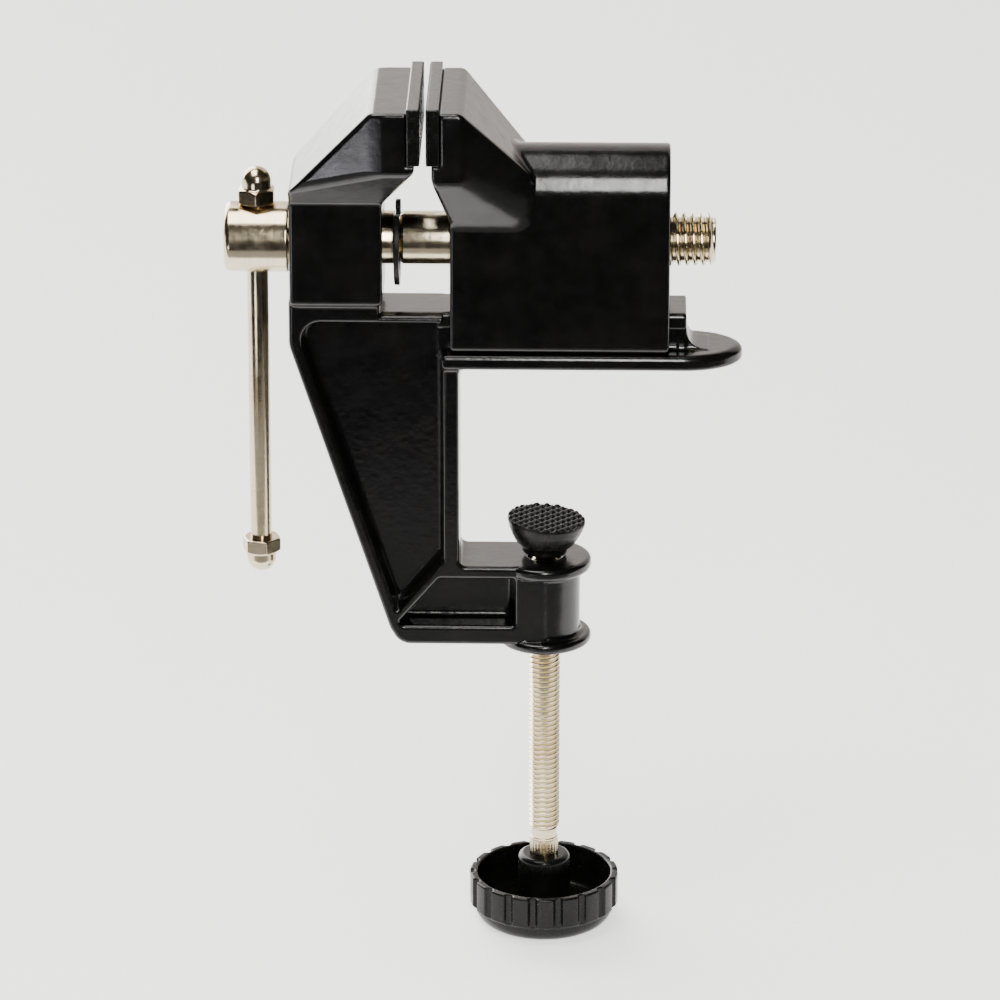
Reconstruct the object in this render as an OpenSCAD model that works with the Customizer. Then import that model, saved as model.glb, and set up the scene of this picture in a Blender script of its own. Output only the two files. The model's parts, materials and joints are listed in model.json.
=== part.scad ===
// Small clamp-on bench vise, 30 mm jaws, millimetres.
// Origin: on the clamp screw's axis, at the underside of the table plate.
// +X runs along the main screw from its head to its threaded end, +Z is up.

/* [Jaws] */
// Width of both jaws across the vise
jaw_w = 30; // [26:1:34]
// Height of the jaw castings above the clamp seat
jaw_top = 52; // [49:0.5:55]
// Gap between the jaw plates in the stored pose
jaw_gap = 1.1; // [0.6:0.1:2]
// Thickness of each steel jaw plate
jaw_plate_t = 2.4; // [2:0.1:3]
// Height of each steel jaw plate
jaw_plate_h = 10.9; // [10:0.1:11.5]
// How far a jaw plate stands above its casting
jaw_plate_proud = 1; // [0:0.1:1.2]

/* [Main screw] */
// Height of the main screw's axis above the clamp seat
screw_z = 23.4; // [23:0.1:24]
// Diameter of the plain shank
shank_d = 10; // [9:0.5:10]
// Thread pitch of the main screw
screw_pitch = 1.5; // [1.25:0.25:1.75]
// Diameter of the head that carries the tommy bar
head_d = 13.2; // [12:0.1:14]
// Length of the head
head_l = 11.9; // [10:0.1:13]
// Diameter of the tommy bar
bar_d = 4; // [3:0.1:4.5]
// Free length of the tommy bar between its cap nuts
bar_l = 66.8; // [50:0.1:67]
// Width across the flats of the cap nuts
nut_af = 6.5; // [6:0.1:7]

/* [Body casting] */
// Width of the screw block, the table plate and the moving jaw's barrel
block_w = 16; // [15.5:0.5:17]
// Width of the clamp frame's flanges
frame_w = 14; // [13:0.5:15]
// Thickness of the frame's web
web_t = 4; // [3:0.5:5]
// Thickness of the table plate
plate_t = 3; // [2.5:0.1:3]
// Height of the rail's top face above the clamp seat
rail_top = 10.6; // [10.4:0.1:10.8]
// Width of the rail's head
rail_w = 11.5; // [10.5:0.1:11.5]
// Depth from the clamp seat to the top of the lower arm
throat_h = 39.8; // [38:0.1:41]

/* [Table clamp] */
// Nominal diameter of the clamp screw
clamp_d = 5.9; // [5.5:0.1:6]
// Thread pitch of the clamp screw
clamp_pitch = 1; // [0.8:0.1:1.2]
// Diameter of the swivel pad
pad_d = 14.8; // [13:0.1:15.5]
// Tilt of the swivel pad in the stored pose, degrees
pad_tilt = 4.5; // [0:0.5:4.5]
// Outer diameter of the hand knob
knob_d = 28.6; // [26:0.2:30]
// Height of the hand knob's cup
knob_h = 9.8; // [9:0.1:11]

/* [Hidden] */
$fn = 64;

slack = 0.15;         // sliding gap between the moving jaw and the rail
turn_slack = 0.08;    // radial gap between a screw and its bore

// stations along X
block_x0 = -47.65;                             // left face of the screw block
block_x1 = -30.15;                             // right face of the screw block
fixed_face = -22.9;                            // working face of the fixed jaw plate
moving_face = fixed_face + jaw_gap;            // working face of the moving jaw plate
lip_back = 0.75;                               // how far a casting's lip lies behind the plate's face
saddle_x0 = moving_face + 4.15;                // left face of the moving jaw's barrel
saddle_x1 = 23.1;                              // right face of the barrel
shoulder_x = -19.05;                           // right end of the frame's full-width top
throat_x = -16.05;                             // inner face of the clamp frame
rail_x1 = 26.3;                                // end of the rail
nose_x0 = 25.7;                                // where the table plate starts to narrow
nose_l = 11.1;                                 // length of the plate's rounded nose
screw_x1 = 31.6;                               // threaded end of the main screw
head_x1 = block_x0 - 0.05;                     // right face of the screw head
head_x0 = head_x1 - head_l;
bar_x = (head_x0 + head_x1) / 2;

// levels along Z
block_z0 = 12.1;                               // underside of the block's wide part
saddle_z0 = plate_t + 0.4;                     // underside of the moving jaw
arc_z = 33.8;                                  // centre of the barrel's round top
arm_z1 = -throat_h;                            // top of the lower arm
arm_flange_t = 2.4;
boss_z0 = -57;                                 // underside of the clamp boss
foot_z = -55.6;                                // underside of the lower flange
foot_flange_t = 3.8;
neck_w = 7.5;                                  // rail neck under its head
rail_head_h = 3.4;

// clamp parts
ball_z = arm_z1 + 3.4;
ball_r = 3;
neck_r = 1.8;
rim_z = -105.3;                                // rim of the knob's cup
hub_top = rim_z + 3.8;
knurl_z1 = hub_top + 3.1;
thread_z0 = -96;                               // lower end of the clamp thread
knob_z0 = rim_z - knob_h;

// points of an arc of radius r that rounds the corner b between a and c
function unit(v) = v / norm(v);
function arc_of(c, r, a0, turn, n) =
    [for (i = [0 : n]) c + r * [cos(a0 + turn * i / n), sin(a0 + turn * i / n)]];
function corner(a, b, c, r) =
    let (
        u = unit(a - b),
        v = unit(c - b),
        half = acos(u * v) / 2,
        centre = b + unit(u + v) * r / sin(half),
        s = b + u * r / tan(half) - centre,
        e = b + v * r / tan(half) - centre,
        a0 = atan2(s.y, s.x),
        turn = (atan2(e.y, e.x) - a0 + 540) % 360 - 180
    )
    arc_of(centre, r, a0, turn, 6);
// outline from [x, y] corners, where [x, y, r] is a rounded one
function outline(p) =
    [for (i = [0 : len(p) - 1])
        let (n = len(p), a = p[(i + n - 1) % n], b = p[i], c = p[(i + 1) % n])
        each (len(b) > 2 ? corner([a.x, a.y], [b.x, b.y], [c.x, c.y], b[2]) : [b])];

// a shape drawn in X and Z, w thick across Y
module slab(w) { rotate([90, 0, 0]) linear_extrude(w, center = true) children(); }
// a shape drawn in Y and Z, swept along X from x0 to x1
module sweep_x(x0, x1) {
    translate([x0, 0, 0]) rotate([90, 0, 90]) linear_extrude(x1 - x0) children();
}
// a round part on the X axis at the main screw's height
module on_screw(x) { translate([x, 0, screw_z]) rotate([0, 90, 0]) children(); }
// everything beyond the plane through a with normal n
module beyond(a, n) {
    translate(a) rotate([0, acos(n.z / norm(n)), atan2(n.y, n.x)])
        translate([-40, -40, 0]) cube([80, 80, 20]);
}
// shape turned about Z: profile points are [radius, height]
module turned(profile) { rotate_extrude() polygon(profile); }
// ring-cut rod that stands for a thread, from z = 0 up to length
function thread_points(crest, root, pitch, length) =
    let (n = floor(length / pitch))
    [for (i = [0 : n - 1]) each [[root, i * pitch], [crest, (i + 0.38) * pitch],
        [crest, (i + 0.62) * pitch]]];
module thread_rod(crest, root, pitch, length) {
    turned(concat([[0, 0]], thread_points(crest, root, pitch, length),
        [[root, length], [0, length]]));
}

// ---------- body casting ----------

diag_top = [block_x0, 4.2];
diag_low = [-29.15, -52.4];
flange_t = 3;
module frame_outline() {
    polygon(outline([
        [block_x0, block_z0 + 1], [block_x1, block_z0 + 1], [block_x1, rail_top],
        [shoulder_x, rail_top], [shoulder_x, 1], [-9, 1], [-9, 0], [throat_x, 0, 1.5],
        [throat_x, arm_z1, 1.5], [0, arm_z1], [0, foot_z],
        [-27.25, foot_z, 3.5], [diag_low.x, diag_low.y, 3.5],
        [diag_top.x, diag_top.y, 6]
    ]));
}
// the two pockets of the I-section, which leave the web and a diagonal rib
module pocket_outlines() {
    slope = (diag_low.x - diag_top.x) / (diag_low.y - diag_top.y);
    inset = 2.4;                               // flange thickness along X
    rib = 1.34;                                // slope of the diagonal rib
    wall_x = throat_x - flange_t;
    rib_z = -38.4;
    low_z = foot_z + foot_flange_t;
    tip_z = (rib_z - rib * (wall_x - diag_top.x - inset + slope * diag_top.y))
        / (1 - rib * slope);
    polygon(outline([
        [diag_top.x + inset - 0.1, rail_top - 1.7, 3.6], [wall_x, rail_top - 1.7, 1],
        [wall_x, rib_z, 0.8],
        [diag_top.x + inset + (tip_z - diag_top.y) * slope, tip_z, 0.5],
        [diag_top.x + inset, diag_top.y, 3]
    ]));
    polygon(outline([
        [wall_x - 0.8, arm_z1 - arm_flange_t, 0.8], [-4, arm_z1 - arm_flange_t],
        [-4, low_z], [diag_top.x + inset + (low_z - diag_top.y) * slope, low_z, 0.8],
        [diag_low.x + inset - 0.5, -50.9]
    ]));
}
module clamp_frame() {
    depth = (frame_w - web_t) / 2;
    difference() {
        slab(frame_w) frame_outline();
        for (side = [-1, 1])
            translate([0, side * (web_t + depth) / 2, 0]) slab(depth) pocket_outlines();
    }
}
module table_plate() {
    steps = 10;
    nose = [for (i = [-steps : steps])
        [nose_x0 + nose_l * cos(90 * i / steps), block_w / 2 * sin(90 * i / steps)]];
    linear_extrude(plate_t)
        polygon(concat([[shoulder_x, block_w / 2], [shoulder_x, -block_w / 2]], nose));
}
module rail() {
    fillet_r = 3.8;
    sweep_x(shoulder_x - 1, rail_x1) {
        translate([-rail_w / 2, rail_top - rail_head_h]) square([rail_w, rail_head_h]);
        translate([-neck_w / 2, plate_t - 1]) square([neck_w, rail_top - plate_t]);
    }
    slab(neck_w) difference() {
        translate([rail_x1 - 1, plate_t - 1]) square([fillet_r + 1, fillet_r + 1]);
        translate([rail_x1 + fillet_r, plate_t + fillet_r]) circle(fillet_r);
    }
}
// full section of a jaw across Y: a wide head that slopes in to the block's width
module jaw_section(low_z, wide_z) {
    b = block_w / 2;
    w = jaw_w / 2;
    polygon([[-b, low_z], [b, low_z], [w, wide_z], [w, jaw_top], [-w, jaw_top], [-w, wide_z]]);
}
module fixed_jaw() {
    low_z = 32.5;
    w = jaw_w / 2;
    seat_x = fixed_face - jaw_plate_t;
    lip_x = fixed_face - lip_back;
    lip_z = jaw_top + jaw_plate_proud - jaw_plate_h;
    intersection() {
        slab(jaw_w + 2) polygon([
            [block_x0, low_z - 3], [block_x0, 35.2], [-32.1, jaw_top], [seat_x, jaw_top],
            [seat_x, lip_z], [lip_x, lip_z], [lip_x, 41], [block_x1, 32.3],
            [block_x1, low_z - 3]
        ]);
        linear_extrude(jaw_top + 1) polygon([
            [block_x0, -w + 4], [-29.7, -w], [lip_x, -w], [lip_x, w], [-29.7, w],
            [block_x0, w - 4]
        ]);
        sweep_x(block_x0, lip_x) {
            jaw_section(low_z, 40.6);
            translate([-block_w / 2, low_z - 3]) square([block_w, 4]);
        }
    }
}
plate_hole_y = 9;                              // jaw screws lie this far each side of centre
plate_hole_z = jaw_top + jaw_plate_proud - jaw_plate_h / 2;
jaw_screw_r = 1.5;
jaw_screw_l = 7;
module clamp_boss() {
    pad_r = 8.8;
    translate([0, 0, boss_z0]) cylinder(r = 6.7, h = arm_z1 - boss_z0);
    translate([0, 0, boss_z0]) cylinder(r = pad_r, h = 2);
    translate([0, 0, arm_z1 - arm_flange_t]) cylinder(r = pad_r, h = arm_flange_t);
}
module frame() {
    color("#16171a") difference() {
        union() {
            clamp_frame();
            table_plate();
            rail();
            sweep_x(block_x0, block_x1)
                translate([-block_w / 2, block_z0]) square([block_w, 21]);
            fixed_jaw();
            clamp_boss();
        }
        on_screw(block_x0 - 1) cylinder(r = shank_d / 2 + turn_slack, h = 20);
        translate([0, 0, boss_z0 - 1])
            cylinder(r = clamp_d / 2 + turn_slack, h = arm_z1 - boss_z0 + 2);
        for (side = [-1, 1])
            translate([fixed_face - jaw_plate_t, side * plate_hole_y, plate_hole_z])
                rotate([0, -90, 0]) cylinder(r = jaw_screw_r, h = jaw_screw_l);
    }
}

// ---------- jaw plates and their screws ----------

cone_h = 1.3;                                  // depth of a countersunk head
cone_r = 2.7;
// plate with its working face at x = 0 and its body towards -X
module jaw_plate() {
    z0 = jaw_top + jaw_plate_proud - jaw_plate_h;
    difference() {
        translate([-jaw_plate_t, -jaw_w / 2, z0]) cube([jaw_plate_t, jaw_w, jaw_plate_h]);
        for (side = [-1, 1])
            translate([0, side * plate_hole_y, plate_hole_z]) rotate([0, -90, 0]) {
                cylinder(r1 = cone_r, r2 = jaw_screw_r, h = cone_h);
                cylinder(r = jaw_screw_r, h = jaw_plate_t + 1);
            }
    }
}
// pair of countersunk screws, flush with a plate's face at x = 0
module jaw_screws() {
    slot_w = 0.7;
    for (side = [-1, 1])
        translate([0, side * plate_hole_y, plate_hole_z]) rotate([0, -90, 0])
            difference() {
                union() {
                    cylinder(r1 = cone_r, r2 = jaw_screw_r, h = cone_h);
                    cylinder(r = jaw_screw_r, h = jaw_plate_t + jaw_screw_l - 0.5);
                }
                translate([-slot_w / 2, -4, -1]) cube([slot_w, 8, 1.6]);
            }
}
module fixed_jaw_plate() { color("#2b2b2d") translate([fixed_face, 0, 0]) jaw_plate(); }
module fixed_jaw_screws() { color("#77787a") translate([fixed_face, 0, 0]) jaw_screws(); }
module moving_jaw_plate() {
    color("#2b2b2d") translate([moving_face, 0, 0]) mirror([1, 0, 0]) jaw_plate();
}
module moving_jaw_screws() {
    color("#77787a") translate([moving_face, 0, 0]) mirror([1, 0, 0]) jaw_screws();
}

// ---------- moving jaw ----------

jaw_x2 = -15.3;                                // rear edge of the moving jaw's top
jaw_x3 = -1.5;                                 // rear end of the moving jaw
module moving_jaw_head() {
    low_z = 28.2;
    wide_z = 38.8;
    w = jaw_w / 2;
    b = block_w / 2;
    seat_x = moving_face + jaw_plate_t;
    lip_x = moving_face + lip_back;
    lip_z = jaw_top + jaw_plate_proud - jaw_plate_h;
    roof = 1.08;                               // slope of the roof behind the top face
    taper_end = -2.3;
    difference() {
        intersection() {
            slab(jaw_w + 2) polygon([
                [saddle_x0, low_z], [saddle_x0, 29], [lip_x, 39.6], [lip_x, lip_z],
                [seat_x, lip_z], [seat_x, jaw_top], [jaw_x2, jaw_top],
                [jaw_x3, jaw_top - roof * (jaw_x3 - jaw_x2)], [jaw_x3, low_z]
            ]);
            linear_extrude(jaw_top + 1) polygon([
                [lip_x, -w], [jaw_x2, -w], [taper_end, -b], [jaw_x3, -b + 0.5],
                [jaw_x3, b - 0.5], [taper_end, b], [jaw_x2, w], [lip_x, w]
            ]);
            sweep_x(lip_x, jaw_x3) jaw_section(low_z, wide_z);
        }
        for (side = [-1, 1])
            beyond([jaw_x2, side * w, wide_z], [19.6, side * 48.1, -10.5]);
    }
}
module barrel_section() {
    b = block_w / 2;
    difference() {
        union() {
            translate([-b, saddle_z0]) square([block_w, arc_z - saddle_z0]);
            translate([0, arc_z]) circle(b);
        }
        translate([-rail_w / 2 - slack, rail_top - rail_head_h - slack])
            square([rail_w + 2 * slack, rail_head_h + 2 * slack]);
        translate([-neck_w / 2 - slack, 0]) square([neck_w + 2 * slack, rail_top - 1]);
    }
}
module moving_jaw() {
    color("#16171a") difference() {
        union() {
            sweep_x(saddle_x0, saddle_x1) barrel_section();
            moving_jaw_head();
        }
        on_screw(saddle_x0 - 5)
            cylinder(r = shank_d / 2 + turn_slack, h = saddle_x1 - saddle_x0 + 10);
        for (side = [-1, 1])
            translate([moving_face + jaw_plate_t, side * plate_hole_y, plate_hole_z])
                rotate([0, 90, 0]) cylinder(r = jaw_screw_r, h = jaw_screw_l);
    }
}

// ---------- main screw and tommy bar ----------

groove_x0 = -28.1;                             // groove for the retaining clip
groove_w = 1.1;
groove_r = 4;
thread_x0 = -12;                               // where the main thread starts
module main_screw() {
    shank_r = shank_d / 2;
    crest_r = shank_r;
    root_r = shank_r - 0.9;
    bevel = 0.7;
    head_r = head_d / 2;
    thread_l = screw_x1 - thread_x0 - 1;
    color("#b3a892") difference() {
        union() {
            on_screw(head_x0) turned([
                [0, 0], [head_r - bevel, 0], [head_r, bevel], [head_r, head_l - bevel / 2],
                [head_r - bevel / 2, head_l], [0, head_l]
            ]);
            on_screw(head_x1) turned([
                [0, 0], [shank_r, 0], [shank_r, groove_x0 - head_x1],
                [groove_r, groove_x0 - head_x1], [groove_r, groove_x0 + groove_w - head_x1],
                [shank_r - 0.6, groove_x0 + groove_w - head_x1],
                [shank_r, groove_x0 + groove_w + 0.6 - head_x1],
                [shank_r, thread_x0 - head_x1], [0, thread_x0 - head_x1]
            ]);
            on_screw(thread_x0) thread_rod(crest_r, root_r, screw_pitch, thread_l);
            on_screw(thread_x0 + thread_l) cylinder(r1 = root_r, r2 = root_r - 1, h = 1);
        }
        translate([bar_x, 0, screw_z - 10]) cylinder(r = bar_d / 2 + turn_slack, h = 20);
    }
}
module retaining_clip() {
    outer_r = 8.4;
    inner_r = 5.9;
    drop = 0.5;                                // the clip hangs this far below the axis
    prong_z = 5.9;
    tab_w = 2.4;
    t = 1;
    color("#1d1d1f") translate([groove_x0 + (groove_w - t) / 2, 0, screw_z])
        rotate([90, 0, 90]) linear_extrude(t) difference() {
            union() {
                translate([0, -drop]) difference() {
                    circle(outer_r);
                    circle(inner_r);
                }
                translate([-tab_w / 2, -outer_r + 1]) square([tab_w, 4]);
                for (side = [-1, 1])
                    rotate(side * 62) translate([-tab_w / 2, groove_r - 0.5])
                        square([tab_w, 3]);
            }
            circle(groove_r + 0.02);
            translate([-10, prong_z]) square([20, 10]);
            polygon([[0, 0], [-6, 9], [6, 9]]);
        }
}
bar_z1 = screw_z + head_d / 2 + 0.3;           // top of the bar's plain length
bar_z0 = bar_z1 - bar_l;
stud_r = 1.7;
stud_l = 4.2;
module tommy_bar() {
    color("#a58f72") {
        translate([bar_x, 0, bar_z0 - stud_l]) cylinder(r = stud_r, h = bar_l + 2 * stud_l);
        translate([bar_x, 0, bar_z0]) cylinder(r = bar_d / 2, h = bar_l);
    }
}
// domed nut that stands on z = 0
module cap_nut() {
    hex_h = 2.7;
    dome_r = 2.75;
    dome_z = 4.05;
    difference() {
        union() {
            cylinder(r = nut_af / sqrt(3), h = hex_h, $fn = 6);
            cylinder(r = dome_r, h = dome_z);
            translate([0, 0, dome_z]) sphere(dome_r);
        }
        translate([0, 0, -4]) cube(8, center = true);
        cylinder(r = stud_r, h = 2 * (stud_l + 0.2), center = true);
    }
}
module upper_cap_nut() {
    color("#b3a892") translate([bar_x, 0, bar_z1]) rotate(30) cap_nut();
}
module lower_cap_nut() {
    color("#b3a892") translate([bar_x, 0, bar_z0]) mirror([0, 0, 1]) rotate(-13) cap_nut();
}

// ---------- table clamp ----------

module clamp_screw() {
    crest_r = clamp_d / 2;
    root_r = crest_r - 0.55;
    thread_z1 = arm_z1 - 0.5;
    color("#b3a892") {
        translate([0, 0, thread_z0])
            thread_rod(crest_r, root_r, clamp_pitch, thread_z1 - thread_z0);
        translate([0, 0, thread_z1]) turned([
            [0, 0], [root_r, 0], [neck_r, 0.5], [neck_r, ball_z - thread_z1], [0, ball_z - thread_z1]
        ]);
        translate([0, 0, knurl_z1]) cylinder(r = root_r + 0.2, h = thread_z0 - knurl_z1);
        translate([0, 0, knob_z0 + 2]) cylinder(r = crest_r, h = knurl_z1 - knob_z0 - 2);
    }
}
module swivel_ball() {
    color("#b3a892") translate([0, 0, ball_z]) difference() {
        sphere(ball_r);
        translate([0, 0, -5]) cylinder(r = neck_r + 0.05, h = 5.05);
    }
}
// pad on its ball: the ball's centre is the origin
module clamp_pad() {
    pad_r = pad_d / 2;
    top = 4.4;
    foot = -2.6;
    socket_r = ball_r + turn_slack;
    color("#1f2022") translate([0, 0, ball_z]) rotate([0, pad_tilt, 0]) difference() {
        turned([
            [0, foot], [4.1, foot], [4.4, foot + 0.3], [4.4, -1.5], [5.5, -0.6], [6.3, 0.7],
            [7, 2.2], [pad_r, top - 0.8], [pad_r - 0.3, top], [0, top]
        ]);
        sphere(socket_r);
        translate([0, 0, foot - 0.1]) cylinder(r = 2.5, h = 0.9);
    }
}
module hand_knob() {
    r = knob_d / 2;
    wall = 1.5;
    floor_t = 1.8;
    edge_r = 3;
    hub_r = 5;
    grooves = 18;
    groove_r = 0.9;
    grip_z = 3.8;                              // the grooved band starts this far up
    waist = r - 1;
    edge = arc_of([waist - edge_r, edge_r], edge_r, -90, 90, 6);
    color("#1b1b1c") translate([0, 0, knob_z0]) difference() {
        turned(concat([[0, 0]], edge, [
            [waist, grip_z - 0.6], [r, grip_z], [r, knob_h - 0.4], [r - 0.4, knob_h],
            [r - wall, knob_h], [r - wall, floor_t], [hub_r, floor_t],
            [hub_r, hub_top - knob_z0 - 0.8], [hub_r - 0.8, hub_top - knob_z0],
            [0, hub_top - knob_z0]
        ]));
        for (i = [0 : grooves - 1])
            rotate(i * 360 / grooves + 2) translate([r, 0, grip_z - 1])
                cylinder(r = groove_r, h = knob_h);
        translate([0, 0, 2]) cylinder(r = clamp_d / 2, h = 20);
    }
}

frame();
fixed_jaw_plate();
fixed_jaw_screws();
moving_jaw();
moving_jaw_plate();
moving_jaw_screws();
main_screw();
retaining_clip();
tommy_bar();
upper_cap_nut();
lower_cap_nut();
clamp_screw();
swivel_ball();
clamp_pad();
hand_knob();
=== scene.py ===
import json
import math

import bpy
import numpy as np
from mathutils import Matrix, Vector


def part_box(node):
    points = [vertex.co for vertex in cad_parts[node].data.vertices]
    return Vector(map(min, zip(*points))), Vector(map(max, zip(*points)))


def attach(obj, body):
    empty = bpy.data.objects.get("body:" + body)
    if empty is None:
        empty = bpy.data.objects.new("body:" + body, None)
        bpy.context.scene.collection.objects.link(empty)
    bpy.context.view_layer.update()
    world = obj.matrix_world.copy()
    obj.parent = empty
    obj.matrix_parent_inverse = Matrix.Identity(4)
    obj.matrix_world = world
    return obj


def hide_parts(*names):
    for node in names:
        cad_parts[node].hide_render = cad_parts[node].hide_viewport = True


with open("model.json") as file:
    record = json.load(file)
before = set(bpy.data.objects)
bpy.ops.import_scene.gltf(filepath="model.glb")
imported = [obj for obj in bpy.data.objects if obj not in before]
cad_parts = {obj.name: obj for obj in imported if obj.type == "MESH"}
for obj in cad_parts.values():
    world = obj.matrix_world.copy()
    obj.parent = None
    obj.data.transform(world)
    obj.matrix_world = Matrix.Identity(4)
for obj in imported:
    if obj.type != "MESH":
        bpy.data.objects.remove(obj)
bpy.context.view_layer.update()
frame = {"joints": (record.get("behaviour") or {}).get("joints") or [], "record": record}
MM = 0.001


# ---------------------------------------------------------------- CAD sizes

def box_mm(node):
    """Lowest and highest corner of a CAD node, in millimetres."""
    low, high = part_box(node)
    return np.array(low) / MM, np.array(high) / MM


def joint_pos(name):
    """Where a hinge of the record lies, in millimetres."""
    joint = next(j for j in frame["joints"] if j["name"] == name)
    return np.array(joint["pos_m"]) / MM


FRAME_LO, FRAME_HI = box_mm("frame")
JAW_LO, JAW_HI = box_mm("moving_jaw")
FIXED_LO, FIXED_HI = box_mm("fixed_jaw_plate")
MOVING_LO, MOVING_HI = box_mm("moving_jaw_plate")
SCREW_LO, SCREW_HI = box_mm("main_screw")
CLIP_LO, CLIP_HI = box_mm("retaining_clip")
BAR_LO, BAR_HI = box_mm("tommy_bar")
TOP_NUT_LO, TOP_NUT_HI = box_mm("upper_cap_nut")
LOW_NUT_LO, LOW_NUT_HI = box_mm("lower_cap_nut")
CLAMP_LO, CLAMP_HI = box_mm("clamp_screw")
PAD_LO, PAD_HI = box_mm("clamp_pad")
KNOB_LO, KNOB_HI = box_mm("hand_knob")
SCREW_Z = joint_pos("spindle_turn")[2]
BALL_Z = joint_pos("pad_swivel")[2]


# ---------------------------------------------------------------- distance fields
# Each field takes x, y and z in millimetres and returns a distance, negative inside.

def both(r, a, b):
    """Intersection of two fields, with the convex edge rounded to radius r."""
    corner = np.sqrt(np.maximum(a + r, 0) ** 2 + np.maximum(b + r, 0) ** 2)
    return np.minimum(np.maximum(a, b), -r) + corner


def either(r, a, b):
    """Union of two fields, with the concave edge filleted to radius r."""
    corner = np.sqrt(np.maximum(r - a, 0) ** 2 + np.maximum(r - b, 0) ** 2)
    return np.maximum(np.minimum(a, b), r) - corner


def cut(r, a, b):
    """Field a without field b, with the new edges rounded to radius r."""
    return both(r, a, -b)


def polygon(points, u, v):
    """Distance to a closed outline in the plane of u and v."""
    u, v = np.broadcast_arrays(u, v)
    shape = u.shape
    u = np.ascontiguousarray(u, np.float32).ravel()
    v = np.ascontiguousarray(v, np.float32).ravel()
    best = np.full(u.shape, 1e12, np.float32)
    inside = np.zeros(u.shape, bool)
    count = len(points)
    for i in range(count):
        au, av = points[i]
        bu, bv = points[(i + 1) % count]
        eu, ev = bu - au, bv - av
        t = np.clip(((u - au) * eu + (v - av) * ev) / (eu * eu + ev * ev), 0, 1)
        best = np.minimum(best, (u - au - t * eu) ** 2 + (v - av - t * ev) ** 2)
        if av != bv:
            inside ^= ((av > v) != (bv > v)) & (u < eu * (v - av) / ev + au)
    return (np.sqrt(best) * np.where(inside, -1, 1)).reshape(shape)


def rounded(corners, steps=9):
    """Outline from (u, v) corners; (u, v, r) is a corner rounded to radius r."""
    out = []
    count = len(corners)
    for i, corner in enumerate(corners):
        b = np.array(corner[:2], float)
        if len(corner) < 3 or not corner[2]:
            out.append(tuple(b))
            continue
        a = np.array(corners[i - 1][:2], float)
        c = np.array(corners[(i + 1) % count][:2], float)
        p = (a - b) / np.linalg.norm(a - b)
        q = (c - b) / np.linalg.norm(c - b)
        half = math.acos(float(np.clip(p @ q, -1, 1))) / 2
        centre = b + (p + q) / np.linalg.norm(p + q) * corner[2] / math.sin(half)
        s = b + p * corner[2] / math.tan(half) - centre
        e = b + q * corner[2] / math.tan(half) - centre
        a0 = math.atan2(s[1], s[0])
        turn = (math.atan2(e[1], e[0]) - a0 + 3 * math.pi) % (2 * math.pi) - math.pi
        for k in range(steps + 1):
            w = a0 + turn * k / steps
            out.append((centre[0] + corner[2] * math.cos(w), centre[1] + corner[2] * math.sin(w)))
    return out


def grid_normals(field, p, step):
    """Unit gradient of a field at points p, and its length."""
    g = np.empty_like(p)
    for axis in range(3):
        a, b = p.copy(), p.copy()
        a[:, axis] += step
        b[:, axis] -= step
        g[:, axis] = (field(*a.T) - field(*b.T)) / (2 * step)
    size = np.linalg.norm(g, axis=1, keepdims=True)
    return g / np.maximum(size, 1e-9), size


def surface(field, low, high, step):
    """Quads on the zero level of a field inside the box low-high: (points, faces, normals)."""
    axes = [np.arange(low[i] - 2.5 * step, high[i] + 2.5 * step, step, dtype=np.float32)
            for i in range(3)]
    x, y, z = np.meshgrid(*axes, indexing="ij", sparse=True)
    d = np.asarray(field(x, y, z), np.float32)
    inside = d < 0
    corners = [(i, j, k) for i in (0, 1) for j in (0, 1) for k in (0, 1)]
    total = np.zeros([n - 1 for n in d.shape], np.int8)
    for c in corners:
        total += inside[tuple(slice(c[i], d.shape[i] - 1 + c[i]) for i in range(3))]
    cells = (total > 0) & (total < 8)
    at = np.argwhere(cells)
    index = np.full(cells.shape, -1, np.int32)
    index[cells] = np.arange(len(at))
    values = [d[at[:, 0] + c[0], at[:, 1] + c[1], at[:, 2] + c[2]] for c in corners]
    place = np.zeros((len(at), 3))
    hits = np.zeros(len(at))
    for a, ca in enumerate(corners):
        for b, cb in enumerate(corners):
            if b <= a or sum(abs(ca[i] - cb[i]) for i in range(3)) != 1:
                continue
            da, db = values[a], values[b]
            crosses = (da < 0) != (db < 0)
            t = np.where(crosses, da / np.where(crosses, da - db, 1), 0)
            for i in range(3):
                place[:, i] += np.where(crosses, ca[i] + t * (cb[i] - ca[i]), 0)
            hits += crosses
    place = (place / hits[:, None] + at) * step + np.array([axes[i][0] for i in range(3)])
    faces = []
    for axis in range(3):
        u, v = [i for i in range(3) if i != axis]
        lo = [slice(1, n - 1) for n in d.shape]
        lo[axis] = slice(0, d.shape[axis] - 1)
        hi = list(lo)
        hi[axis] = slice(1, d.shape[axis])
        first, second = inside[tuple(lo)], inside[tuple(hi)]
        for flip in (False, True):
            e = np.argwhere(first & ~second if not flip else ~first & second)
            for i in (u, v):
                e[:, i] += 1
            quad = []
            for du, dv in ((0, 0), (-1, 0), (-1, -1), (0, -1)):
                c = e.copy()
                c[:, u] += du
                c[:, v] += dv
                quad.append(index[c[:, 0], c[:, 1], c[:, 2]])
            quad = np.stack(quad, 1)
            if flip == (axis != 1):
                quad = quad[:, ::-1]
            faces.append(quad)
    faces = np.concatenate(faces)
    for _ in range(3):
        n, size = grid_normals(field, place, 0.05)
        move = field(*place.T)[:, None] / np.maximum(size, 0.3)
        place -= n * np.clip(move, -step, step)
    normals, _ = grid_normals(field, place, 0.12)
    return place, faces, normals


# ---------------------------------------------------------------- mesh builders

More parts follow.
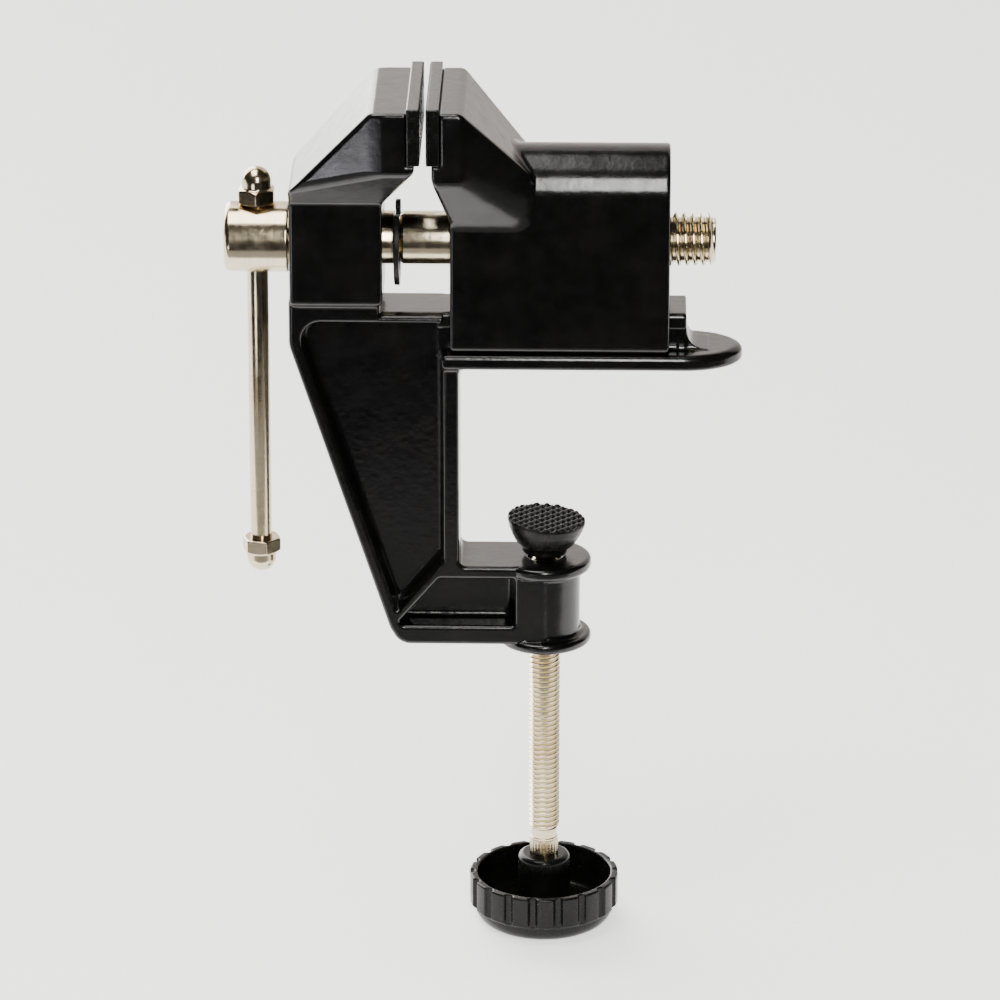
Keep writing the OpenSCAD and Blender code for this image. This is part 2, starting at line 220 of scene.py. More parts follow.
def make(name, points, faces, normals=None, material=None):
    """A mesh object from points in millimetres."""
    mesh = bpy.data.meshes.new(name)
    points = np.asarray(points, np.float32) * MM
    if isinstance(faces, np.ndarray):
        mesh.vertices.add(len(points))
        mesh.vertices.foreach_set("co", points.ravel())
        size = faces.shape[1]
        mesh.loops.add(faces.size)
        mesh.loops.foreach_set("vertex_index", faces.astype(np.int32).ravel())
        mesh.polygons.add(len(faces))
        mesh.polygons.foreach_set("loop_start", np.arange(len(faces), dtype=np.int32) * size)
        mesh.update(calc_edges=True)
    else:
        mesh.from_pydata(points.tolist(), [], faces)
        mesh.update()
    mesh.validate()
    mesh.polygons.foreach_set("use_smooth", [True] * len(mesh.polygons))
    if normals is not None:
        mesh.normals_split_custom_set_from_vertices(normals.tolist())
    obj = bpy.data.objects.new(name, mesh)
    bpy.context.scene.collection.objects.link(obj)
    if material:
        mesh.materials.append(material)
    return obj


def lathe(profile, steps=96, centre=(0, 0, 0), axis="Z"):
    """Points and faces of a (radius, height) profile turned about an axis."""
    points, faces, rings = [], [], []
    for r, h in profile:
        if r < 1e-6:
            rings.append([len(points)])
            points.append((0, 0, h))
            continue
        ring = list(range(len(points), len(points) + steps))
        rings.append(ring)
        for k in range(steps):
            w = 2 * math.pi * k / steps
            points.append((r * math.cos(w), r * math.sin(w), h))
    for a, b in zip(rings, rings[1:]):
        for k in range(steps):
            n = (k + 1) % steps
            if len(a) == 1:
                faces.append((a[0], b[n], b[k]))
            elif len(b) == 1:
                faces.append((a[k], a[n], b[0]))
            else:
                faces.append((a[k], a[n], b[n], b[k]))
    points = np.array(points, float)
    if axis == "X":
        points = points[:, [2, 0, 1]]
    return points + np.array(centre, float), faces


def bevelled(profile, r=0.2, steps=4):
    """A (radius, height) profile with its sharp corners rounded to at most radius r."""
    out = []
    for i, p in enumerate(profile):
        size = p[2] if len(p) > 2 else r
        if i in (0, len(profile) - 1) or not size:
            out.append((p[0], p[1]))
            continue
        a, c = profile[i - 1][:2], profile[i + 1][:2]
        reach = min(math.dist(a, p[:2]), math.dist(c, p[:2])) * 0.45
        b = np.array(p[:2], float)
        u = (np.array(a) - b) / math.dist(a, p[:2])
        v = (np.array(c) - b) / math.dist(c, p[:2])
        half = math.acos(float(np.clip(u @ v, -1, 1))) / 2
        if half > math.pi / 2 - 0.05:
            out.append(tuple(b))
            continue
        size = min(size, reach * math.tan(half))
        out += rounded([tuple(a), (b[0], b[1], size), tuple(c)], steps)[1:-1]
    return out


def helix(crest, root, pitch, low, high, chamfer_low=0, chamfer_high=0, steps=40):
    """A right-hand thread about Z from low to high, cut flat at its ends."""
    shape = [(0.0, 0), (0.10, 0), (0.20, 0.28), (0.36, 0.86), (0.44, 1), (0.56, 1),
             (0.64, 0.86), (0.80, 0.28), (0.90, 0)]
    turns = int(math.ceil((high - low) / pitch)) + 2
    count = len(shape)
    rows = turns * count
    k = np.arange(steps + 1)[:, None]
    row = np.arange(rows + 1)[None, :]
    part = np.array([s[0] for s in shape])[row % count]
    rise = np.array([s[1] for s in shape])[row % count]
    z = low + (row // count - 1.5 + part + k / steps) * pitch
    fade = np.clip(np.minimum((z - low) / pitch + 0.6, 1), 0, 1)
    r = root + (crest - root) * rise * fade
    zc = np.clip(z, low, high)
    if chamfer_high:
        r = np.minimum(r, crest - chamfer_high + (high - zc))
    if chamfer_low:
        r = np.minimum(r, crest - chamfer_low + (zc - low))
    w = 2 * np.pi * k / steps
    points = np.stack([r * np.cos(w), r * np.sin(w), zc], -1).reshape(-1, 3)
    i = np.arange(steps)[:, None] * (rows + 1) + np.arange(rows)[None, :]
    quads = np.stack([i, i + rows + 1, i + rows + 2, i + 1], -1).reshape(-1, 4)
    span = points[quads][:, :, 2]
    quads = quads[np.ptp(span, axis=1) > 1e-6]
    return points, [tuple(q) for q in quads.tolist()]


def joined(name, parts, material, smooth_angle=None):
    """One object out of several (points, faces) pairs."""
    points, faces, base = [], [], 0
    for p, f in parts:
        points.append(np.asarray(p, float))
        faces += [tuple(int(i) + base for i in face) for face in f]
        base += len(p)
    obj = make(name, np.concatenate(points), faces, material=material)
    if smooth_angle:
        obj.data.set_sharp_from_angle(angle=math.radians(smooth_angle))
    return obj


# ---------------------------------------------------------------- the two castings

BLOCK_X0 = FRAME_LO[0]
JAW_W = FRAME_HI[1]                   # half the jaws' width
BLOCK_W = 8.0                         # half the width of the screw block and the barrel
FRAME_W = 7.0                         # half the width of the clamp frame
WEB = 2.0                             # half the thickness of its web
SEAT_FIXED = FIXED_LO[0]              # where the fixed plate sits against its casting
SEAT_MOVING = MOVING_HI[0]
LIP_FIXED = FIXED_HI[0] - 0.75
LIP_MOVING = MOVING_LO[0] + 0.75
LIP_Z = FIXED_LO[2]
SADDLE_X0 = MOVING_LO[0] + 4.15
ARC_Z = 33.8                          # centre of the barrel's round top
ARM_Z = -39.8                         # top of the lower arm
FOOT_Z = -55.6                        # underside of the lower flange
BOSS_Z = FRAME_LO[2]
THROAT_X = -16.05
SHOULDER_X = -19.05                   # right end of the frame's full-width top
RAIL_TOP = 10.6
RAIL_HEAD = 1.7                       # half the height of the rail's head
RAIL_W = 5.75                         # half the width of the rail's head
NECK_W = 3.75                         # half the width of its neck
RAIL_PLAY = 0.15                      # play of the saddle on the rail, each side
RAIL_X1 = 26.3                        # right end of the rail
NOSE_X = 25.7                         # where the table plate starts to round off
PLATE_T = 3                           # thickness of the table plate
BLOCK_X1 = -30.15
BLOCK_Z0 = 12.1
JAW_TOP = 52.0                        # top of the castings under the jaw plates
SCREW_BORE = 5.1                      # radius of the main screw's holes
CLAMP_BORE = 3.15                     # radius of the clamp screw's hole
BOSS_R = 8.8                          # radius of the clamp boss's flanges
BOSS_BARREL_R = 6.7
DIAG_TOP = (BLOCK_X0, 4.2)
DIAG_LOW = (-29.15, -52.4)
SLOPE = (DIAG_LOW[0] - DIAG_TOP[0]) / (DIAG_LOW[1] - DIAG_TOP[1])
FLANGE = 2.4                          # thickness of the sloping flange along X
EDGE = 0.7                            # usual radius on the castings' edges
CASTING_STEP = 0.36                   # grid step of the castings' meshes

C_OUTLINE = rounded([
    (BLOCK_X0, BLOCK_Z0 + 1), (BLOCK_X0 + 1.2, BLOCK_Z0 + 1), (BLOCK_X0 + 1.2, 16),
    (BLOCK_X1 - 0.7, 16), (BLOCK_X1 - 0.7, RAIL_TOP), (SHOULDER_X, RAIL_TOP),
    (SHOULDER_X, 1), (-9, 1), (-9, 0), (THROAT_X, 0, 1.5), (THROAT_X, ARM_Z, 1.5),
    (0, ARM_Z), (0, FOOT_Z), (-27.25, FOOT_Z, 3.5), (*DIAG_LOW, 3.5), (*DIAG_TOP, 6)])


def flange_x(z):
    """Inner face of the sloping flange at height z."""
    return DIAG_TOP[0] + FLANGE + (z - DIAG_TOP[1]) * SLOPE


WALL_X = THROAT_X - 3
UPPER_POCKET = rounded([
    (DIAG_TOP[0] + FLANGE - 0.1, 8.9, 3.6), (WALL_X, 8.9, 1), (WALL_X, -38.4, 0.8),
    (flange_x(-49.1), -49.1, 0.5), (DIAG_TOP[0] + FLANGE, DIAG_TOP[1], 3)])
LOWER_POCKET = rounded([
    (WALL_X - 0.8, ARM_Z - 2.4, 0.8), (-5.5, ARM_Z - 2.4, 0.6), (-5.5, -51.8, 0.6),
    (flange_x(-51.8), -51.8, 0.8), (flange_x(-51.8) - 0.3, -50.9)])


def clamp_frame(x, y, z):
    """The C of the clamp, with a pocket on each side of its web."""
    body = both(EDGE, polygon(C_OUTLINE, x, z), abs(y) - FRAME_W)
    crown = both(2.0, abs(y) - FRAME_W, z - RAIL_TOP)
    body = np.maximum(body, np.minimum(crown, x - BLOCK_X1 + 0.7))
    for outline in (UPPER_POCKET, LOWER_POCKET):
        draft = 0.06 * (FRAME_W - abs(y))
        body = cut(EDGE, body, both(0.9, polygon(outline, x, z) + draft, WEB - abs(y)))
    return body


def table_plate(x, y, z):
    """The plate that rests on the table, with a rounded nose."""
    nose = np.maximum(x - NOSE_X, 0) * BLOCK_W / (FRAME_HI[0] - NOSE_X)
    plan = both(0.1, np.hypot(nose, y) - BLOCK_W, SHOULDER_X - x)
    return both(0.8, both(1.2, plan, z - PLATE_T), -z)


def rail(x, y, z):
    """The T-shaped rail and the curved heel behind its end."""
    head = both(0.9, abs(y) - RAIL_W, abs(z - RAIL_TOP + RAIL_HEAD) - RAIL_HEAD)
    neck = both(0.1, abs(y) - NECK_W, abs(z - 5) - 4)
    foot = 3.8 - np.hypot(np.minimum(x - 30.1, 0), np.minimum(z - 6.8, 0))
    heel = np.maximum(np.maximum(foot, abs(y) - NECK_W), np.maximum(x - 30.0, z - 6.8))
    heel = np.maximum(heel, np.maximum(25 - x, 1 - z))
    body = np.maximum(either(0.3, head, neck), SHOULDER_X - 1 - x)
    body = both(0.5, body, x - RAIL_X1)
    return either(0.4, body, heel)


FIXED_PROFILE = rounded([
    (BLOCK_X0, BLOCK_Z0, 1.0), (BLOCK_X0, 35.2, 1.5), (-32.1, JAW_TOP, 2.2),
    (SEAT_FIXED, JAW_TOP, 0.3), (SEAT_FIXED, LIP_Z), (LIP_FIXED, LIP_Z), (LIP_FIXED, 41, 1.2),
    (BLOCK_X1, 32.3, 1.8), (BLOCK_X1, BLOCK_Z0, 1.2)])
FIXED_PLAN = rounded([
    (BLOCK_X0, -11, 0.6), (-29.7, -JAW_W, 0.5), (LIP_FIXED, -JAW_W, 0.5), (LIP_FIXED, JAW_W, 0.5),
    (-29.7, JAW_W, 0.5), (BLOCK_X0, 11, 0.6)])
FIXED_SECTION = rounded([
    (-BLOCK_W, BLOCK_Z0, 1.3), (BLOCK_W, BLOCK_Z0, 1.3), (BLOCK_W, 32.5, 1.2), (JAW_W, 40.6, 1.2),
    (JAW_W, 60), (-JAW_W, 60), (-JAW_W, 40.6, 1.2), (-BLOCK_W, 32.5, 1.2)])


def fixed_jaw(x, y, z):
    """The screw block and the jaw on top of it."""
    body = both(EDGE, polygon(FIXED_PROFILE, x, z), polygon(FIXED_SECTION, y, z))
    return both(0.9, body, polygon(FIXED_PLAN, x, y))


def boss_discs(x, y, z):
    """The round flanges above and below the clamp boss."""
    r = np.hypot(x, y)
    top = both(0.9, r - BOSS_R, abs(z - ARM_Z + 1.2) - 1.2)
    low = both(0.8, r - BOSS_R, abs(z - BOSS_Z - 1) - 1)
    return np.minimum(top, low)


def boss_barrel(x, y, z):
    """The barrel between the flanges; its ends lie inside them."""
    ends = abs(z - (BOSS_Z + ARM_Z) / 2) - (ARM_Z - BOSS_Z) / 2 + 1
    return np.maximum(np.hypot(x, y) - BOSS_BARREL_R, ends)


def frame_field(x, y, z):
    """The whole frame casting with its two bores."""
    blend = np.clip(0.5 * (x - BLOCK_X0), 0.02, 0.9)
    body = either(blend, fixed_jaw(x, y, z), clamp_frame(x, y, z))
    body = np.minimum(body, rail(x, y, z))
    body = either(0.8, body, table_plate(x, y, z))
    body = either(1.0, np.minimum(body, boss_discs(x, y, z)), boss_barrel(x, y, z))
    bore = np.hypot(y, z - SCREW_Z) - SCREW_BORE
    body = cut(0.5, body, np.maximum(bore, x + 29))
    return cut(0.5, body, np.hypot(x, y) - CLAMP_BORE)


JAW_X2 = -15.3                        # right end of the moving jaw's flat top
STEM_W = 6.5                          # half the width of its lower part, inside the barrel
CORNER_Z = 38.8                       # where its sides start to narrow downwards
MOVING_PROFILE = rounded([
    (SADDLE_X0 + 1.3, 25), (LIP_MOVING, 39.6, 1.2),
    (LIP_MOVING, LIP_Z), (SEAT_MOVING, LIP_Z), (SEAT_MOVING, JAW_TOP, 0.3), (JAW_X2, JAW_TOP, 2.0),
    (-1.5, JAW_TOP - 1.08 * (-1.5 - JAW_X2), 1.0), (-1.5, 25)])
MOVING_PLAN = rounded([
    (LIP_MOVING, -JAW_W, 0.5), (JAW_X2, -JAW_W, 0.6), (-2.3, -BLOCK_W, 1.0), (-1.4, 0),
    (-2.3, BLOCK_W, 1.0), (JAW_X2, JAW_W, 0.6), (LIP_MOVING, JAW_W, 0.5)])
MOVING_SECTION = rounded([
    (-STEM_W, 20), (STEM_W, 20), (STEM_W, 25.9), (JAW_W, CORNER_Z, 1.2), (JAW_W, 60),
    (-JAW_W, 60), (-JAW_W, CORNER_Z, 1.2), (-STEM_W, 25.9)])
CORNER_N = np.array([19.6, 48.1, -10.5]) / np.linalg.norm([19.6, 48.1, -10.5])


def moving_field(x, y, z):
    """The moving jaw's casting: head, barrel and the slot for the rail."""
    head = both(0.9, polygon(MOVING_PROFILE, x, z), polygon(MOVING_PLAN, x, y))
    head = both(0.9, head, polygon(MOVING_SECTION, y, z))
    corner = ((x - JAW_X2) * CORNER_N[0] + (abs(y) - JAW_W) * CORNER_N[1]
              + (z - CORNER_Z) * CORNER_N[2])
    head = both(0.7, head, corner)
    section = np.hypot(y, np.maximum(z - ARC_Z, 0)) - BLOCK_W
    barrel = both(1.2, section, JAW_LO[2] - z)
    middle, half = (JAW_HI[0] + SADDLE_X0) / 2, (JAW_HI[0] - SADDLE_X0) / 2
    barrel = both(0.6, barrel, abs(x - middle) - half)
    body = either(0.7, head, barrel)
    slot = np.maximum(abs(y) - RAIL_W - RAIL_PLAY,
                      abs(z - RAIL_TOP + RAIL_HEAD) - RAIL_HEAD - RAIL_PLAY)
    neck = np.maximum(abs(y) - NECK_W - RAIL_PLAY, z - RAIL_TOP)
    body = cut(0.3, body, np.minimum(slot, neck))
    return cut(0.5, body, np.hypot(y, z - SCREW_Z) - SCREW_BORE)


# ---------------------------------------------------------------- materials

class Paint:
    """A Principled material with small helpers for its nodes. Scales are in features per metre."""

    def __init__(self, name, **sockets):
        self.mat = bpy.data.materials.new(name)
        self.mat.use_nodes = True
        self.tree = self.mat.node_tree
        self.bsdf = self.tree.nodes["Principled BSDF"]
        self.coord = self.node("ShaderNodeTexCoord").outputs["Object"]
        for key, value in sockets.items():
            self.set(key.replace("_", " "), value)

    def node(self, kind, links=(), **props):
        n = self.tree.nodes.new(kind)
        for key, value in props.items():
            setattr(n, key, value)
        for socket, value in dict(links).items():
            self.feed(n.inputs[socket], value)
        return n

    def feed(self, socket, value):
        if isinstance(value, bpy.types.NodeSocket):
            self.tree.links.new(value, socket)
        elif isinstance(value, (tuple, list)) and len(value) == 3 and socket.type == "RGBA":
            socket.default_value = (*value, 1)
        else:
            socket.default_value = value

    def set(self, key, value):
        self.feed(self.bsdf.inputs[key], value)

    def stretched(self, scale):
        n = self.node("ShaderNodeMapping", {"Vector": self.coord, "Scale": scale})
        return n.outputs[0]

    def noise(self, scale, detail=3.0, rough=0.5, stretch=None):
        where = self.stretched(stretch) if stretch else self.coord
        n = self.node("ShaderNodeTexNoise", {"Vector": where, "Scale": scale, "Detail": detail,
                                             "Roughness": rough})
        return n.outputs[0]

    def cells(self, scale):
        n = self.node("ShaderNodeTexVoronoi", {"Vector": self.coord, "Scale": scale})
        return n.outputs["Distance"]

    def span(self, value, a, b, low, high):
        n = self.node("ShaderNodeMapRange", {0: value, 1: a, 2: b, 3: low, 4: high})
        return n.outputs[0]

    def blend(self, factor, a, b):
        n = self.node("ShaderNodeMix", data_type="RGBA")
        self.feed(n.inputs[0], factor)
        self.feed(n.inputs[6], a)
        self.feed(n.inputs[7], b)
        return n.outputs[2]

    def bump(self, *layers):
        """Stacks (height, distance in millimetres) layers into one normal."""
        normal = None
        for height, distance in layers:
            n = self.node("ShaderNodeBump", {"Height": height, "Distance": distance * MM})
            if normal:
                self.feed(n.inputs["Normal"], normal)
            normal = n.outputs[0]
        self.set("Normal", normal)


def enamel():
    """Gloss black enamel over cast iron, with the orange peel of a thick coat."""
    p = Paint("black_enamel", Specular_IOR_Level=0.42, Coat_Weight=0.2, Coat_Roughness=0.12)
    grime = p.noise(90, 4, 0.6)
    p.set("Base Color", p.blend(p.span(grime, 0.45, 0.7, 0, 1), (0.0024, 0.0024, 0.0024),
                                (0.0062, 0.0060, 0.0052)))
    p.set("Roughness", p.span(p.noise(260, 5, 0.65), 0.3, 0.75, 0.16, 0.28))
    p.bump((p.noise(240, 2, 0.45), 0.06), (p.noise(850, 3, 0.55), 0.034),
           (p.noise(2600, 2, 0.5), 0.003), (p.span(p.cells(420), 0.0, 0.22, 0, 1), 0.004))
    return p.mat


def nickel(name, axis):
    """Yellowed nickel plate over turned steel; axis is the turning axis."""
    p = Paint(name, Metallic=1.0)
    stretch = {"X": (1, 0.02, 0.02), "Z": (0.02, 0.02, 1)}[axis]
    turning = p.noise(4200, 3, 0.6, stretch)
    stain = p.noise(70, 4, 0.6)
    warm = p.blend(p.span(stain, 0.42, 0.72, 0, 0.75), (0.72, 0.64, 0.46), (0.58, 0.45, 0.28))
    lines = p.span(turning, 0.35, 0.65, 0.0, 0.28)
    p.set("Base Color", p.blend(lines, warm, (0.36, 0.27, 0.16)))
    p.set("Roughness", p.span(p.noise(700, 4, 0.6), 0.3, 0.7, 0.13, 0.24))
    p.bump((turning, 0.008), (p.noise(1500, 3, 0.5), 0.002))
    return p.mat


def jaw_steel():
    """Hardened steel, painted black with the castings and rubbed at its high spots."""
    p = Paint("jaw_steel", Specular_IOR_Level=0.45, Coat_Weight=0.15, Coat_Roughness=0.1)
    worn = p.span(p.noise(420, 5, 0.6), 0.60, 0.74, 0, 1)
    p.set("Base Color", p.blend(worn, (0.0035, 0.0034, 0.0032), (0.030, 0.028, 0.026)))
    p.set("Roughness", p.span(p.noise(900, 4, 0.6), 0.3, 0.7, 0.16, 0.30))
    p.bump((p.noise(2400, 2, 0.5), 0.004), (p.noise(700, 3, 0.5), 0.018))
    return p.mat


def black_oxide():
    """Blackened steel, a little oily."""
    p = Paint("black_oxide", Metallic=0.05, Specular_IOR_Level=0.18)
    p.set("Base Color", p.blend(p.span(p.noise(500, 4, 0.6), 0.4, 0.7, 0, 1),
                                (0.006, 0.006, 0.006), (0.020, 0.019, 0.017)))
    p.set("Roughness", p.span(p.noise(1100, 4, 0.6), 0.3, 0.7, 0.22, 0.40))
    p.bump((p.noise(1600, 3, 0.55), 0.012))
    return p.mat


def knob_plastic():
    """Satin black moulded plastic."""
    p = Paint("knob_plastic", Specular_IOR_Level=0.25, IOR=1.45)
    p.set("Base Color", p.blend(p.span(p.noise(220, 3, 0.5), 0.45, 0.7, 0, 1),
                                (0.0045, 0.0045, 0.0042), (0.009, 0.009, 0.0082)))
    p.set("Roughness", p.span(p.noise(420, 4, 0.6), 0.3, 0.7, 0.20, 0.33))
    p.bump((p.noise(2600, 2, 0.5), 0.005), (p.noise(300, 2, 0.5), 0.02))
    return p.mat


ENAMEL = enamel()
NICKEL_X = nickel("nickel_plate_x", "X")
NICKEL_Z = nickel("nickel_plate_z", "Z")
JAW_STEEL = jaw_steel()
BLACK = black_oxide()
PLASTIC = knob_plastic()


def solid(name, field, low, high, step, material):
    """A closed object on the zero level of a field, with the field's own normals."""
    points, faces, normals = surface(field, np.array(low, float), np.array(high, float), step)
    return make(name, points, faces, normals, material=material)


def place(obj, body, nodes, slot):
    """Fixes a piece to a body in place of CAD nodes."""
    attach(obj, body)
    if nodes:
        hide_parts(*nodes)


# ---------------------------------------------------------------- pieces

PLATE_SCREW_Y = 9                     # the screws of a jaw plate stand this far from its middle
GROOVE_PITCH = 1.5                    # of the cuts in the jaw plates and the pad


def jaw_plate_field(face, outward):
    """A jaw plate whose toothed face is at x = face and looks towards outward (+1 or -1)."""
    lo, hi = FIXED_LO, FIXED_HI
    thick = hi[0] - lo[0]
    depth = 0.35

    def field(x, y, z):
        d = (x - face) * outward
        saw_a = np.abs(((y + z) / GROOVE_PITCH) % 1 - 0.5)
        saw_b = np.abs(((y - z) / GROOVE_PITCH) % 1 - 0.5)
        rim = np.minimum(np.minimum(JAW_W - abs(y), hi[2] - z), z - lo[2])
        cut_in = depth * np.maximum(1 - 5 * np.minimum(saw_a, saw_b), 0) * (rim > -1)
        slab = abs(d + thick / 2) - thick / 2
        block = both(0.2, slab, abs(y) - JAW_W)
        block = both(0.2, block, abs(z - (lo[2] + hi[2]) / 2) - (hi[2] - lo[2]) / 2)
        teeth = np.maximum(block, d + cut_in)
        hole = np.hypot(abs(y) - PLATE_SCREW_Y, z - (lo[2] + hi[2]) / 2)
        sink = (hole - 2.75 - d * 0.92) * 0.73
        return cut(0.1, teeth, np.minimum(sink, hole - 1.55))
    return field


def screws_field(face, outward):
    """Two slotted countersunk screws, flush with a plate's face."""
    z0 = (FIXED_LO[2] + FIXED_HI[2]) / 2

    def field(x, y, z):
        d = (x - face) * outward
        r = np.hypot(abs(y) - PLATE_SCREW_Y, z - z0)
        head = both(0.08, (r - 2.62 - d * 0.92) * 0.73, np.maximum(d + 0.05, -d - 1.4))
        shank = np.maximum(r - 1.45, abs(d + 4.6) - 4.2)
        slot = np.maximum(abs(abs(y) - PLATE_SCREW_Y + (z - z0) * 0.4) - 0.38, -d - 0.75)
        return cut(0.05, np.minimum(head, shank), slot)
    return field


def head_field(x, y, z):
    """The main screw's round head with its cross hole."""
    x0, x1 = SCREW_LO[0], BLOCK_X0 - 0.05
    r = np.hypot(y, z - SCREW_Z)
    radius = (SCREW_HI[2] - SCREW_LO[2]) / 2
    body = both(0.35, r - radius, abs(x - (x0 + x1) / 2) - (x1 - x0) / 2)
    bevel = (r - radius + 0.7 - (x - x0)) * 0.7071
    body = both(0.25, body, bevel)
    hole = np.hypot(x - (BAR_LO[0] + BAR_HI[0]) / 2, y)
    return cut(0.3, body, hole - 2.12)


def clip_field(x, y, z):
    """The E-clip, open side up, in the groove of the main screw."""
    w = z - SCREW_Z
    ring = abs(np.hypot(y, w + 0.5) - 7.15) - 1.25
    tab = both(0.4, abs(y) - 1.2, abs(w + 5.8) - 1.8)
    lean = math.radians(62)
    side = np.abs(y) * math.sin(lean) + w * math.cos(lean)
    across = np.abs(y) * math.cos(lean) - w * math.sin(lean)
    prong = both(0.4, abs(across) - 1.2, abs(side - 5.0) - 1.5)
    shape = either(0.4, either(0.4, ring, tab), prong)
    shape = np.maximum(shape, 4.02 - np.hypot(y, w))
    shape = both(0.4, shape, w - 5.9)
    opening = np.maximum(-w, (abs(y) - w * 0.667) * 0.832)
    shape = cut(0.4, shape, opening)
    mid = (CLIP_LO[0] + CLIP_HI[0]) / 2
    return both(0.2, shape, abs(x - mid) - (CLIP_HI[0] - CLIP_LO[0]) / 2)


def cap_nut_field(base, up, turn):
    """A domed nut on the tommy bar: base is its flat end's height, up is +1 or -1."""
    cx = (BAR_LO[0] + BAR_HI[0]) / 2

    def field(x, y, z):
        h = (z - base) * up
        u, v = x - cx, y
        r = np.hypot(u, v)
        w = np.arctan2(v, u) - turn
        w = np.abs((w + np.pi / 6) % (np.pi / 3) - np.pi / 6)
        hexagon = r * np.cos(w) - 3.25
        body = both(0.12, hexagon, abs(h - 1.35) - 1.35)
        bevel = (r - 3.28 - (2.7 - h) * 1.5) * 0.55
        under = (r - 3.35 - h * 1.9) * 0.47
        body = both(0.1, both(0.1, body, bevel), under)
        dome = np.hypot(r, np.maximum(h - 4.05, 0)) - 2.73
        dome = np.maximum(dome, -h + 0.5)
        return either(0.35, body, dome)
    return field


PAD_AXIS = next(m["axis"] for m in frame["record"]["mounts"] if m["name"] == "clamp_pad_face")
TILT = math.atan2(PAD_AXIS[0], PAD_AXIS[2])     # the pad's lean at rest
PAD_R = (PAD_HI[1] - PAD_LO[1]) / 2


def pad_field(x, y, z):
    """The swivel pad, tilted on its ball, with a cross-cut top."""
    c, s = math.cos(TILT), math.sin(TILT)
    u, w = x * c - (z - BALL_Z) * s, x * s + (z - BALL_Z) * c
    r = np.hypot(u, y)
    side = polygon(rounded([
        (-3, -2.6), (4.3, -2.6, 0.3), (4.4, -1.5, 0.6), (5.5, -0.6, 1.0), (6.3, 0.7, 1.5),
        (7.0, 2.2, 2.0), (PAD_R, 3.6, 0.3), (PAD_R - 0.1, 4.4, 0.4), (-3, 4.4)]), r, w)
    depth, angle = 0.55, math.radians(41)
    rows = [np.abs(((u * math.cos(a) + y * math.sin(a)) / GROOVE_PITCH) % 1 - 0.5)
            for a in (angle, -angle)]
    groove = depth * np.maximum(1 - 2.6 * np.minimum(rows[0], rows[1]), 0)
    side = both(0.08, side, w - 4.4 + groove)
    return cut(0.2, side, np.minimum(np.hypot(r, w) - 3.1, np.maximum(r - 2.55, w)))


KNOB_Z1 = -105.3                      # rim of the knob's cup
KNOB_GROOVES = 18
SPLINES = 24                          # raised splines on the clamp screw's neck


def knob_field(x, y, z):
    """The grooved cup of the hand knob with its hub."""
    z0, z1 = KNOB_LO[2], KNOB_Z1
    radius = (KNOB_HI[0] - KNOB_LO[0]) / 2
    r = np.hypot(x, y)
    w = np.arctan2(y, x) - math.radians(2)
    sector = 2 * np.pi / KNOB_GROOVES
    w = (w + sector / 2) % sector - sector / 2
    cup = polygon(rounded([
        (-5, z0), (radius - 1, z0, 3.0), (radius - 1, z0 + 3.2, 0.2), (radius, z0 + 3.8, 0.3),
        (radius, z1, 0.4), (radius - 1.5, z1, 0.4), (radius - 1.7, z0 + 1.8, 1.2),
        (5.1, z0 + 1.8, 0.6), (4.95, KNOB_HI[2], 1.0), (-5, KNOB_HI[2])]), r, z)
    groove = np.hypot(r * np.cos(w) - radius, r * np.sin(w)) - 0.9
    return cut(0.25, cup, both(0.8, groove, z0 + 3.1 - z))


def build_castings():
    place(solid("frame_casting", frame_field, FRAME_LO, FRAME_HI, CASTING_STEP, ENAMEL),
          "frame_body", ["frame"], "casting")
    place(solid("moving_jaw_casting", moving_field, JAW_LO, JAW_HI, CASTING_STEP, ENAMEL),
          "jaw_body", ["moving_jaw"], "casting")


def build_jaw_steel():
    for tag, body, face, way, lo, hi in (
            ("fixed", "frame_body", FIXED_HI[0], 1, FIXED_LO, FIXED_HI),
            ("moving", "jaw_body", MOVING_LO[0], -1, MOVING_LO, MOVING_HI)):
        place(solid(tag + "_jaw_strip", jaw_plate_field(face, way), lo, hi, 0.15, JAW_STEEL),
              body, [tag + "_jaw_plate"], "jaw_steel")
        lo, hi = box_mm(tag + "_jaw_screws")
        place(solid(tag + "_strip_screws", screws_field(face, way), lo, hi, 0.15, JAW_STEEL),
              body, [tag + "_jaw_screws"], "jaw_steel")


def build_spindle():
    head = solid("screw_head", head_field, SCREW_LO, (BLOCK_X0, 7, SCREW_HI[2]), 0.16, NICKEL_X)
    place(head, "spindle_body", [], "plated_steel")
    groove = CLIP_LO[0] - 0.05
    x1 = SCREW_HI[0]
    shank = bevelled([
        (0, BLOCK_X0 - 0.5), (5, BLOCK_X0 - 0.5), (5, groove, 0.12), (4, groove, 0.12),
        (4, groove + 1.1, 0.12), (4.4, groove + 1.1, 0.1), (5, groove + 1.7, 0.2), (5, -12.6, 0.2),
        (4.15, -11.7, 0), (4.15, x1 - 1.2, 0), (3.9, x1, 0.15), (0, x1)])
    thread, faces = helix(5.0, 4.1, 1.5, -12.2, x1, 0, 1.1)
    thread = thread[:, [2, 0, 1]] + np.array([0, 0, SCREW_Z])
    rod = joined("screw_shank", [lathe(shank, 96, (0, 0, SCREW_Z), "X"), (thread, faces)],
                 NICKEL_X, 40)
    place(rod, "spindle_body", ["main_screw"], "plated_steel")
    clip = solid("e_clip", clip_field, CLIP_LO, CLIP_HI, 0.12, BLACK)
    place(clip, "spindle_body", ["retaining_clip"], "black_steel")


